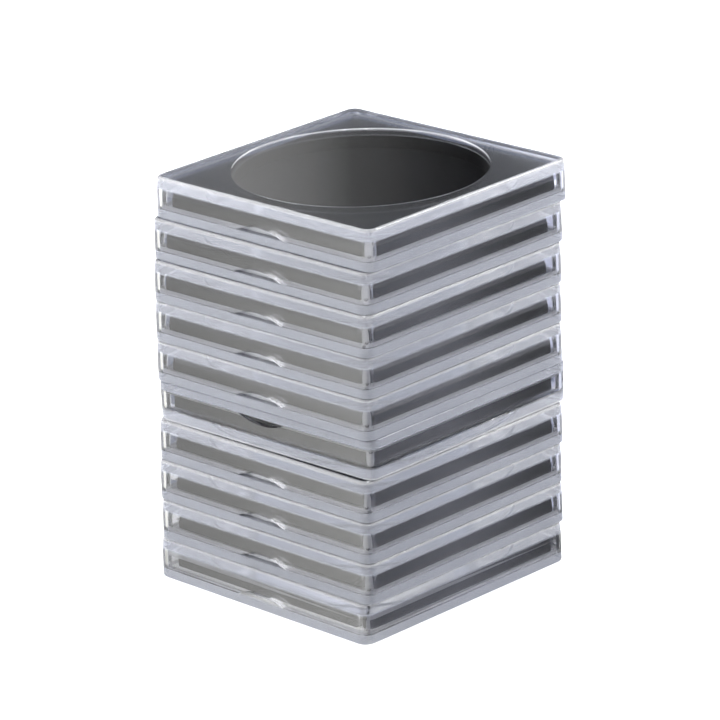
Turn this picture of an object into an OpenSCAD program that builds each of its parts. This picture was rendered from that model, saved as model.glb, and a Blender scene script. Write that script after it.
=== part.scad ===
// Stack of ten square coin capsules with foam inserts.
//
// Each capsule is three loose pieces: a clear base tray, a black foam
// insert with a round recess for the coin, and a clear lid.  The insert
// sits inside the tray's wall, and the lid is a shallow cap whose skirt
// slides down over that wall to the parting plane.  The capsules stand one on
// another, counted from the top (01) to the bottom (10).  The sixth from
// the top lies upside down, with its base uppermost.
//
// Millimetres, +Z up.  The origin is on the surface the stack stands on,
// at the middle of the stack's footprint.

/* [Capsule] */
// Outer side of the square capsule
side = 67; // [50:0.5:90]
// Height of one closed capsule
capsule_h = 9.68; // [6:0.1:20]
// Plan radius of the outer corners
corner_r = 2.8; // [1.8:0.1:5]

/* [Base tray] */
// Height of the parting plane, where the lid's skirt ends
parting_z = 2.2; // [1:0.1:4]
// Thickness of the tray's floor
floor_t = 2.5; // [1:0.1:4]
// Thickness of the tray's wall
wall_t = 1.35; // [0.8:0.05:2]
// Height of the top of the foot that runs round the tray's wall
foot_top = 3.05; // [2.6:0.05:5]
// Height of the top of the tray's wall
wall_top = 6.55; // [3:0.05:8]
// Radius of the bottom edge
base_edge_r = 0.4; // [0.1:0.05:1]

/* [Lid] */
// Thickness of the lid's top plate
top_t = 2.85; // [1:0.05:4]
// Thickness of the skirt
skirt_t = 1.45; // [0.8:0.05:2]
// Amount that each side leans in between the parting plane and the top
draft = 0.25; // [0:0.05:0.6]
// Radius of the top edge
lid_edge_r = 0.65; // [0.2:0.05:1.5]
// Diameter of the polished round window
window_d = 58.6; // [30:0.1:80]
// Depth of the window below the top face
window_recess = 0.35; // [0.1:0.05:1]
// Width of the thumbnail notch in the skirt's lower edge
notch_w = 14.4; // [8:0.2:24]
// Height of the thumbnail notch
notch_h = 1.6; // [0.5:0.1:2.5]

/* [Foam insert] */
// Outer side of the insert
foam_side = 60.1; // [40:0.1:80]
// Thickness of the insert
foam_t = 3.6; // [2:0.05:8]
// Diameter of the coin recess
recess_d = 58; // [20:0.1:59]
// Depth of the coin recess
recess_t = 3; // [0.5:0.1:6]

/* [Hidden] */
$fn = 96;

// clearance between the tray's wall and the lid's skirt
wall_gap = 0.12;
// the small tapered dimple on each corner of the wall: its height on the
// wall, its depth, and its diameter 1 mm out from the bottom of the dimple
dimple_z = 3.25;
dimple_depth = 0.5;
dimple_d = 1.3;
// clearance between the insert's faces and the faces they rest on
rest_gap = 0.03;
// clearance between one capsule and the next
stack_gap = 0.03;

clear_plastic = [0.87, 0.88, 0.93, 0.35];
foam_black = [0.10, 0.10, 0.11];

// Place of each capsule in the stack, top first: sideways offset in X and Y
// and turn about Z.  Loose capsules never line up exactly.
offsets = [
    [1.00, 1.40, 0.2],
    [0.45, 0.50, 0.2],
    [0.65, -0.30, 0.5],
    [0.20, -0.10, 0.4],
    [0.25, -0.30, 0.1],
    [0.15, 0.30, 0.4],
    [-0.10, -0.35, -0.5],
    [-0.30, -0.70, -0.1],
    [-0.15, -0.85, -0.2],
    [-0.65, -1.05, -0.9]
];
upside_down = 6;

// Place of each insert within its own tray, top first, in X and Y
insert_shift = [
    [0.40, 0.10],
    [-0.10, -0.40],
    [-0.40, -0.35],
    [0.00, -0.10],
    [0.40, 0.15],
    [-0.20, -0.20],
    [0.40, 0.40],
    [0.40, 0.40],
    [0.40, 0.40],
    [0.40, 0.40]
];

// A square block with rounded corners whose side wall follows a profile:
// prof is a list of [inset, z] from the bottom to the top, where inset is
// how far the wall stands inside the square of side w.
module profiled_block(w, r, prof) {
    n = len(prof);
    half = w / 2;
    span = w - 2 * r;
    right_side = [for (p = prof) [half - p[0], p[1]]];
    left_side = [for (i = [n - 1:-1:0]) [-(half - prof[i][0]), prof[i][1]]];
    across = concat(right_side, left_side);
    corner = concat([[0, prof[0][1]]],
                    [for (p = prof) [r - p[0], p[1]]],
                    [[0, prof[n - 1][1]]]);
    rotate([90, 0, 0]) linear_extrude(height = span, center = true)
        polygon(across);
    rotate([90, 0, 90]) linear_extrude(height = span, center = true)
        polygon(across);
    for (sx = [-1, 1], sy = [-1, 1])
        translate([sx * span / 2, sy * span / 2, 0])
            rotate_extrude() polygon(corner);
}

// Plain square block with rounded corners
module rounded_block(w, r, z0, z1) {
    span = w - 2 * r;
    translate([0, 0, z0]) linear_extrude(height = z1 - z0) {
        square([w, span], center = true);
        square([span, w], center = true);
        for (sx = [-1, 1], sy = [-1, 1])
            translate([sx * span / 2, sy * span / 2]) circle(r = r);
    }
}

// Base tray: a thick floor and a wall all round that holds the insert.
// The wall stands inside the lid's skirt on a slightly wider foot and leans
// in near its top, so that the lid slides on easily.
module base_tray() {
    e = base_edge_r;
    wall_in = skirt_t + wall_gap;
    wall_side = side - 2 * wall_in;
    r = corner_r - wall_in;
    corner_reach = sqrt(2) * (wall_side / 2 - r) + r;
    color(clear_plastic) difference() {
        union() {
            profiled_block(side, corner_r,
                concat([for (a = [0:30:90])
                            [e - e * sin(a), e - e * cos(a)]],
                       [[0, parting_z]]));
            profiled_block(wall_side, r,
                [[0, parting_z - 0.5],
                 [0, foot_top],
                 [0.05, foot_top + 0.05],
                 [0.05, wall_top - 1.2],
                 [0.3, wall_top]]);
        }
        rounded_block(wall_side - 2 * wall_t, 0.5, floor_t, wall_top + 1);
        for (a = [45:90:315])
            rotate([0, 0, a])
                translate([corner_reach - dimple_depth, 0, dimple_z])
                    rotate([0, 90, 0])
                        cylinder(d1 = 0.3, d2 = dimple_d, h = 1);
    }
}

// Foam insert: a square pad with a round recess in its top that holds the
// coin.  The pad lies a little off centre within its tray.
module foam_insert(n) {
    z0 = floor_t + rest_gap;
    color(foam_black)
        translate([insert_shift[n - 1][0], insert_shift[n - 1][1], 0])
            difference() {
                rounded_block(foam_side, 1.0, z0, z0 + foam_t);
                translate([0, 0, z0 + foam_t - recess_t])
                    cylinder(d = recess_d, h = recess_t + 1);
            }
}

// Lid: a thick top plate with a shallow round polished window, and a skirt
// down to the parting plane with a thumbnail notch in one side.
module lid() {
    h = capsule_h;
    e = lid_edge_r;
    pocket = side - 2 * skirt_t;
    notch_r = notch_w * notch_w / (8 * notch_h) + notch_h / 2;
    z0 = parting_z + rest_gap;
    color(clear_plastic) difference() {
        profiled_block(side, corner_r,
            concat([[0, z0], [0.05, h - top_t]],
                   [for (a = [0:18:90])
                        [draft + e - e * cos(a), h - e + e * sin(a)]]));
        rounded_block(pocket, corner_r - skirt_t, 0, h - top_t);
        translate([0, 0, h - window_recess])
            cylinder(d = window_d, h = 2);
        translate([0, -side / 2, z0 + notch_h - notch_r])
            rotate([90, 0, 0]) cylinder(r = notch_r, h = 4, center = true);
    }
}

// Stands a piece of capsule n (1 at the top) in its place in the stack
module place(n) {
    o = offsets[n - 1];
    z = (len(offsets) - n) * (capsule_h + stack_gap);
    translate([o[0], o[1], z]) rotate([0, 0, o[2]])
        if (n == upside_down)
            translate([0, 0, capsule_h]) rotate([0, 180, 0]) children();
        else
            children();
}

module capsule_01_base() { place(1) base_tray(); }
module capsule_01_foam_insert() { place(1) foam_insert(1); }
module capsule_01_lid() { place(1) lid(); }
module capsule_02_base() { place(2) base_tray(); }
module capsule_02_foam_insert() { place(2) foam_insert(2); }
module capsule_02_lid() { place(2) lid(); }
module capsule_03_base() { place(3) base_tray(); }
module capsule_03_foam_insert() { place(3) foam_insert(3); }
module capsule_03_lid() { place(3) lid(); }
module capsule_04_base() { place(4) base_tray(); }
module capsule_04_foam_insert() { place(4) foam_insert(4); }
module capsule_04_lid() { place(4) lid(); }
module capsule_05_base() { place(5) base_tray(); }
module capsule_05_foam_insert() { place(5) foam_insert(5); }
module capsule_05_lid() { place(5) lid(); }
module capsule_06_base() { place(6) base_tray(); }
module capsule_06_foam_insert() { place(6) foam_insert(6); }
module capsule_06_lid() { place(6) lid(); }
module capsule_07_base() { place(7) base_tray(); }
module capsule_07_foam_insert() { place(7) foam_insert(7); }
module capsule_07_lid() { place(7) lid(); }
module capsule_08_base() { place(8) base_tray(); }
module capsule_08_foam_insert() { place(8) foam_insert(8); }
module capsule_08_lid() { place(8) lid(); }
module capsule_09_base() { place(9) base_tray(); }
module capsule_09_foam_insert() { place(9) foam_insert(9); }
module capsule_09_lid() { place(9) lid(); }
module capsule_10_base() { place(10) base_tray(); }
module capsule_10_foam_insert() { place(10) foam_insert(10); }
module capsule_10_lid() { place(10) lid(); }

capsule_01_base();
capsule_01_foam_insert();
capsule_01_lid();
capsule_02_base();
capsule_02_foam_insert();
capsule_02_lid();
capsule_03_base();
capsule_03_foam_insert();
capsule_03_lid();
capsule_04_base();
capsule_04_foam_insert();
capsule_04_lid();
capsule_05_base();
capsule_05_foam_insert();
capsule_05_lid();
capsule_06_base();
capsule_06_foam_insert();
capsule_06_lid();
capsule_07_base();
capsule_07_foam_insert();
capsule_07_lid();
capsule_08_base();
capsule_08_foam_insert();
capsule_08_lid();
capsule_09_base();
capsule_09_foam_insert();
capsule_09_lid();
capsule_10_base();
capsule_10_foam_insert();
capsule_10_lid();
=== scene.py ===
import math

import bpy
from mathutils import Matrix, Vector


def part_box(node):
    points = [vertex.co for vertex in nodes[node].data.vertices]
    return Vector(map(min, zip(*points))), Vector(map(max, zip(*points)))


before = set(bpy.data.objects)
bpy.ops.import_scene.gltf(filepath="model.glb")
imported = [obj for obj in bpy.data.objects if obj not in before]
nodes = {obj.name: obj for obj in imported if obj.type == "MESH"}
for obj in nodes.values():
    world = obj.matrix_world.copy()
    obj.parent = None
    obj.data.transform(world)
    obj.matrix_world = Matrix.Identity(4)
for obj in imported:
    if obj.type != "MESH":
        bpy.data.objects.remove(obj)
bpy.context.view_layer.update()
scene = bpy.context.scene
names = sorted(nodes)


# ---------------------------------------------------------------- helpers
def new_material(name):
    m = bpy.data.materials.new(name)
    m.use_nodes = True
    nt = m.node_tree
    nt.nodes.clear()
    out = nt.nodes.new("ShaderNodeOutputMaterial")
    bsdf = nt.nodes.new("ShaderNodeBsdfPrincipled")
    nt.links.new(bsdf.outputs["BSDF"], out.inputs["Surface"])
    return m, nt, bsdf, out


def noise(nt, coords, scale, detail=2.0, rough=0.5):
    n = nt.nodes.new("ShaderNodeTexNoise")
    n.inputs["Scale"].default_value = scale
    n.inputs["Detail"].default_value = detail
    n.inputs["Roughness"].default_value = rough
    nt.links.new(coords, n.inputs["Vector"])
    return n


def bump(nt, height, strength, distance, after=None):
    b = nt.nodes.new("ShaderNodeBump")
    b.inputs["Strength"].default_value = strength
    b.inputs["Distance"].default_value = distance
    nt.links.new(height, b.inputs["Height"])
    if after is not None:
        nt.links.new(after.outputs["Normal"], b.inputs["Normal"])
    return b


# ---------------------------------------------------------------- clear plastic
def clear_plastic(name, tint, clear, roughness, wave, grain=None):
    """Clear polystyrene: slightly hazy, with faint moulding waviness, and on the satin face a fine grain."""
    m, nt, p, out = new_material(name)
    p.inputs["Base Color"].default_value = (*tint, 1)
    p.inputs["Roughness"].default_value = roughness
    p.inputs["IOR"].default_value = 1.59
    p.inputs["Transmission Weight"].default_value = clear
    tc = nt.nodes.new("ShaderNodeTexCoord")
    n1 = noise(nt, tc.outputs["Object"], 60.0, 1.0)
    b = bump(nt, n1.outputs["Fac"], wave, 0.0002)
    if grain:
        n2 = noise(nt, tc.outputs["Object"], 3500.0, 2.0, 0.6)
        b = bump(nt, n2.outputs["Fac"], grain, 0.00005, b)
    nt.links.new(b.outputs["Normal"], p.inputs["Normal"])
    return m


TINT = (0.95, 0.955, 0.985)
MILK = (0.79, 0.82, 0.92)
lid_clear = clear_plastic("lid_clear", TINT, 1.0, 0.015, 0.003)
lid_wall = clear_plastic("lid_wall", TINT, 0.985, 0.05, 0.003)
lid_satin = clear_plastic("lid_satin", (0.84, 0.87, 0.96), 1.0, 0.2, 0.003, 0.3)
base_clear = clear_plastic("base_clear", TINT, 0.98, 0.015, 0.003)
plate_edge = clear_plastic("plate_edge", MILK, 0.82, 0.16, 0.003)
# whiter, half-milky copy of the plastic, lit by the lamps; on the far walls, the window's step wall and the base's
# corner posts its extra whiteness is painted light (painted backlight glow, a painted highlight line, painted glow up
# the posts)
inner_edge = clear_plastic("inner_edge", (0.95, 0.955, 0.985), 0.5, 0.12, 0.003)
base_edge = clear_plastic("base_edge", MILK, 0.8, 0.15, 0.003)
rim_edge = clear_plastic("rim_edge", (0.95, 0.955, 0.98), 0.74, 0.08, 0.003)
base_satin = clear_plastic("base_satin", TINT, 0.9, 0.3, 0.003, 0.25)

# ---------------------------------------------------------------- foam
foam, nt, p, out = new_material("black_foam")
tc = nt.nodes.new("ShaderNodeTexCoord")
cells = nt.nodes.new("ShaderNodeTexVoronoi")
cells.inputs["Scale"].default_value = 2600.0
nt.links.new(tc.outputs["Object"], cells.inputs["Vector"])
fine = noise(nt, tc.outputs["Object"], 1800.0, 3.0, 0.6)
broad = noise(nt, tc.outputs["Object"], 60.0, 2.0, 0.5)
mix = nt.nodes.new("ShaderNodeMath")
mix.operation = "MULTIPLY_ADD"
nt.links.new(fine.outputs["Fac"], mix.inputs[0])
mix.inputs[1].default_value = 0.7
nt.links.new(broad.outputs["Fac"], mix.inputs[2])
ramp = nt.nodes.new("ShaderNodeValToRGB")
ramp.color_ramp.elements[0].position = 0.45
ramp.color_ramp.elements[0].color = (0.005, 0.0052, 0.006, 1)
ramp.color_ramp.elements[1].position = 1.15 / 1.3
ramp.color_ramp.elements[1].color = (0.014, 0.0145, 0.017, 1)
nt.links.new(mix.outputs[0], ramp.inputs["Fac"])
nt.links.new(ramp.outputs["Color"], p.inputs["Base Color"])
p.inputs["Roughness"].default_value = 0.9
p.inputs["IOR"].default_value = 1.4
p.inputs["Specular IOR Level"].default_value = 0.15
b1 = bump(nt, cells.outputs["Distance"], 0.012, 0.00005)
nt.links.new(b1.outputs["Normal"], p.inputs["Normal"])

# ---------------------------------------------------------------- give the pieces their materials
for name, o in nodes.items():
    me = o.data
    me.materials.clear()
    kind = name.split("_", 2)[2]
    number = int(name.split("_")[1])
    if kind == "foam_insert":
        me.materials.append(foam)
        continue
    lo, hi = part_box(name)
    mid = (lo + hi) / 2
    half = (hi.x - lo.x + hi.y - lo.y) / 4
    for m in (base_clear, base_edge, base_satin, inner_edge) if kind == "base" else (
            lid_clear, plate_edge, lid_satin, lid_wall, inner_edge, rim_edge):
        me.materials.append(m)
    # depth below the capsule's own top face for a lid, or height above its own underside for a base
    flat = hi.z if (kind == "lid") == (number != 6) else lo.z
    for f in me.polygons:
        c = f.center
        out = max(abs(c.x - mid.x), abs(c.y - mid.y))
        deep = abs(c.z - flat)
        level = abs(f.normal.z) > 0.99
        if level and deep < 2e-5:
            f.material_index = 2
        elif kind == "lid":
            if out > half - 0.0014:
                # the two far walls take the whiter plastic instead of plate_edge: painted backlight, making the back
                # sides lighter than the near sides
                far = c.x < mid.x - half + 0.0014 or c.y > mid.y + half - 0.0014
                f.material_index = 3 if deep > 0.0029 else 5 if deep < 0.0006 else 4 if far else 1
            # the window's step wall takes the whiter plastic: its bright ring line is a painted highlight, which the
            # lamps then light
            elif deep < 0.00034 and not level:
                f.material_index = 4
            else:
                f.material_index = 0
        else:
            edge = out > half - 0.0014
            foot = out > half - 0.0021 and deep < 0.0031
            rim = deep > 0.00535 and out < half - 0.0022
            # the corner posts take the whiter plastic (material 3): painted glow in place of the light the clear posts
            # carry, lit by the lamps
            corner = min(abs(c.x - mid.x), abs(c.y - mid.y)) > half - 0.0029 and deep > 0.0025
            dimple = corner and 0.0025 < deep < 0.004 and 0.05 < abs(f.normal.z) < 0.99
            f.material_index = 1 if edge else 0 if dimple else 3 if foot or rim or corner else 0

# ---------------------------------------------------------------- floor, light, camera
def card(name, size_x, size_y, location, across, facing, ramp, reach=1.0, seen_by=("glossy", "transmission"), strength=1.0):
    """A glowing studio card.  ramp is a list of (place from -1 to 1 along its width, colour)."""
    me = bpy.data.meshes.new(name)
    x, y = size_x / 2, size_y / 2
    me.from_pydata([(-x, -y, 0), (x, -y, 0), (x, y, 0), (-x, y, 0)], [], [(0, 1, 2, 3)])
    o = bpy.data.objects.new(name, me)
    scene.collection.objects.link(o)
    ax = Vector(across).normalized()
    az_ = Vector(facing).normalized()
    ax = (ax - az_ * ax.dot(az_)).normalized()
    ay = az_.cross(ax)
    o.matrix_world = Matrix.Translation(location) @ Matrix((ax, ay, az_)).transposed().to_4x4()
    m = bpy.data.materials.new(name)
    m.use_nodes = True
    t = m.node_tree
    t.nodes.clear()
    ou = t.nodes.new("ShaderNodeOutputMaterial")
    em = t.nodes.new("ShaderNodeEmission")
    tc = t.nodes.new("ShaderNodeTexCoord")
    sep = t.nodes.new("ShaderNodeSeparateXYZ")
    t.links.new(tc.outputs["Object"], sep.inputs[0])
    mr = t.nodes.new("ShaderNodeMapRange")
    mr.inputs["From Min"].default_value = -x * reach
    mr.inputs["From Max"].default_value = x * reach
    t.links.new(sep.outputs["X"], mr.inputs["Value"])
    cr = t.nodes.new("ShaderNodeValToRGB")
    els = cr.color_ramp.elements
    while len(els) > 1:
        els.remove(els[-1])
    for i, (u, c) in enumerate(ramp):
        e = els[0] if i == 0 else els.new((u + 1) / 2)
        e.position = (u + 1) / 2
        e.color = (*c, 1)
    t.links.new(mr.outputs["Result"], cr.inputs["Fac"])
    t.links.new(cr.outputs["Color"], em.inputs["Color"])
    em.inputs["Strength"].default_value = strength
    t.links.new(em.outputs[0], ou.inputs["Surface"])
    me.materials.append(m)
    o.visible_camera = False
    o.visible_shadow = False
    o.visible_diffuse = "diffuse" in seen_by
    o.visible_glossy = "glossy" in seen_by
    o.visible_transmission = "transmission" in seen_by
    return o


# plain pale floor
me = bpy.data.meshes.new("floor")
s = 4.0
me.from_pydata([(-s, -s, -0.00002), (s, -s, -0.00002), (s, s, -0.00002), (-s, s, -0.00002)], [], [(0, 1, 2, 3)])
floor = bpy.data.objects.new("floor", me)
scene.collection.objects.link(floor)
fm, nt, p, out = new_material("floor")
p.inputs["Base Color"].default_value = (0.75, 0.75, 0.76, 1)
p.inputs["Roughness"].default_value = 0.7
p.inputs["Emission Color"].default_value = (1, 1, 1, 1)
p.inputs["Emission Strength"].default_value = 0.35
me.materials.append(fm)

world = bpy.data.worlds.new("studio")
scene.world = world
world.use_nodes = True
bg = world.node_tree.nodes["Background"]
bg.inputs["Color"].default_value = (0.82, 0.88, 1.0, 1)
bg.inputs["Strength"].default_value = 0.22


def area(name, location, target, size, size_y, power, colour=(1, 1, 1)):
    l = bpy.data.lights.new(name, "AREA")
    l.shape = "RECTANGLE"
    l.size, l.size_y = size, size_y
    l.energy = power
    l.color = colour
    o = bpy.data.objects.new(name, l)
    scene.collection.objects.link(o)
    o.location = location
    o.rotation_euler = (Vector(target) - Vector(location)).to_track_quat("-Z", "Y").to_euler()
    o.visible_camera = False
    o.visible_glossy = False
    return o


area("top_box", (0.0, 0.0, 0.9), (0, 0, 0.05), 0.9, 0.9, 8.0).visible_transmission = False
area("left_box", (-0.35, -0.65, 0.75), (0, 0, 0.05), 1.3, 0.6, 11.5)
area("right_box", (0.65, 0.35, 0.75), (0, 0, 0.05), 1.3, 0.6, 11.0)
area("rear_box", (-0.6, 0.7, 0.55), (0, 0, 0.05), 0.6, 0.4, 12.0).visible_transmission = False
# small boxes close to the left and right corners, so the edges fade towards the near corner
area("left_end", (-0.160, -0.167, 0.07), (0, 0, 0.045), 0.12, 0.16, 0.34).visible_transmission = False
area("right_end", (0.160, 0.167, 0.07), (0, 0, 0.045), 0.12, 0.16, 0.30).visible_transmission = False

az, el, roll = math.radians(43.811), math.radians(19.860), math.radians(-2.118)
back = Vector((math.sin(az) * math.cos(el), -math.cos(az) * math.cos(el), math.sin(el)))
right = Vector((math.cos(az), math.sin(az), 0))
up = back.cross(right)

# the backdrop that the round window mirrors, bright on the left and dark on the right
away = Vector((-back.x, -back.y, back.z))
GREY = [(-1.0, 0.22), (-0.7, 0.17), (-0.56, 0.06), (-0.48, 0.40), (-0.44, 0.58), (-0.35, 0.51), (-0.25, 0.44), (-0.16, 0.36), (-0.08, 0.26), (0.0, 0.15),
        (0.10, 0.11), (0.20, 0.065), (0.30, 0.035), (0.42, 0.015), (0.50, 0.10), (0.60, 0.24), (1.0, 0.35)]
card("backdrop", 0.26, 0.30, Vector((0, 0, 0.047)) + away * 1.0, right, -away, [(u, (v, v, v * 0.99)) for u, v in GREY])
# grey sheets on the table: what the two near sides mirror, and what is seen through the plates
mirror = Vector((0.692, 0.722, 0))
behind = Vector((-0.722, 0.692, 0))
card("right_flag", 0.5, 0.6, mirror * 0.30 + Vector((0, 0, -0.00001)), behind, (0, 0, 1),
     [(u, (v * 0.92, v * 0.95, v * 1.1)) for u, v in
      ((-1.0, 0.20), (-0.19, 0.20), (-0.15, 0.28), (-0.10, 0.36), (-0.025, 0.10), (0.0, 0.05), (0.05, 0.05), (0.09, 1.0), (1.0, 1.0))])
card("left_flag", 0.5, 0.6, mirror * -0.30 + Vector((0, 0, -0.00001)), behind, (0, 0, 1),
     [(u, (v, v * 0.995, v * 0.93)) for u, v in ((-1.0, 1.05), (-0.19, 1.05), (0.0, 0.66), (0.05, 0.66), (0.09, 1.1), (1.0, 1.1))])
card("back_flag", 0.6, 0.11, behind * 0.355 + Vector((0, 0, -0.000005)), behind, (0, 0, 1),
     [(-1.0, (0.20, 0.23, 0.31)), (1.0, (0.20, 0.23, 0.31))], seen_by=("transmission",))
# bright side screens, seen only through the plastic
for name, k in (("right_screen", 1), ("left_screen", -1)):
    d = (mirror * k * 0.94 + Vector((0, 0, 0.34))).normalized()
    card(name, 0.5, 0.4, d * 0.9 + Vector((0, 0, 0.05)), behind, -d, [(-1.0, (1.0, 1.0, 1.03)), (1.0, (1.0, 1.0, 1.03))],
         seen_by=("transmission",))

card("back_glow", 1.5, 1.2, behind * 0.95 + Vector((0, 0, -0.000007)), behind, (0, 0, 1),
     [(-1.0, (1.0, 1.0, 1.0)), (1.0, (1.0, 1.0, 1.0))], seen_by=("glossy",), strength=1.8)
# low glow behind, mirrored by the far rims, and two high strips mirrored by the near rims
card("horizon", 1.6, 0.16, behind * 1.4 + Vector((0, 0, 0.06)), right, -behind, [(-1.0, (1.0, 1.0, 1.0)), (1.0, (1.0, 1.0, 1.0))])
for name, d, glow in (("right_strip", Vector((0.34, 0.68, 0.65)), 7.0), ("left_strip", Vector((-0.65, -0.34, 0.68)), 1.5)):
    d.normalize()
    card(name, 0.5, 0.12, d * 0.8 + Vector((0, 0, 0.05)), behind, -d, [(-1.0, (1.0, 1.0, 1.0)), (1.0, (1.0, 1.0, 1.0))],
         seen_by=("glossy",), strength=glow)

cam_data = bpy.data.cameras.new("camera")
cam_data.lens = 4774.5 * 36 / 720
cam_data.sensor_width = 36
cam_data.clip_start = 0.01
cam_data.clip_end = 20
cam = bpy.data.objects.new("camera", cam_data)
scene.collection.objects.link(cam)
basis = Matrix((right, up, back)).transposed() @ Matrix.Rotation(roll, 3, "Z")
cam.matrix_world = Matrix.Translation((0.71042, -0.74062, 0.42153)) @ basis.to_4x4()
scene.camera = cam

scene.view_settings.view_transform = "Standard"
scene.cycles.max_bounces = 32
scene.cycles.transmission_bounces = 28
scene.cycles.glossy_bounces = 16
scene.cycles.diffuse_bounces = 4
scene.cycles.transparent_max_bounces = 16
scene.cycles.use_denoising = True
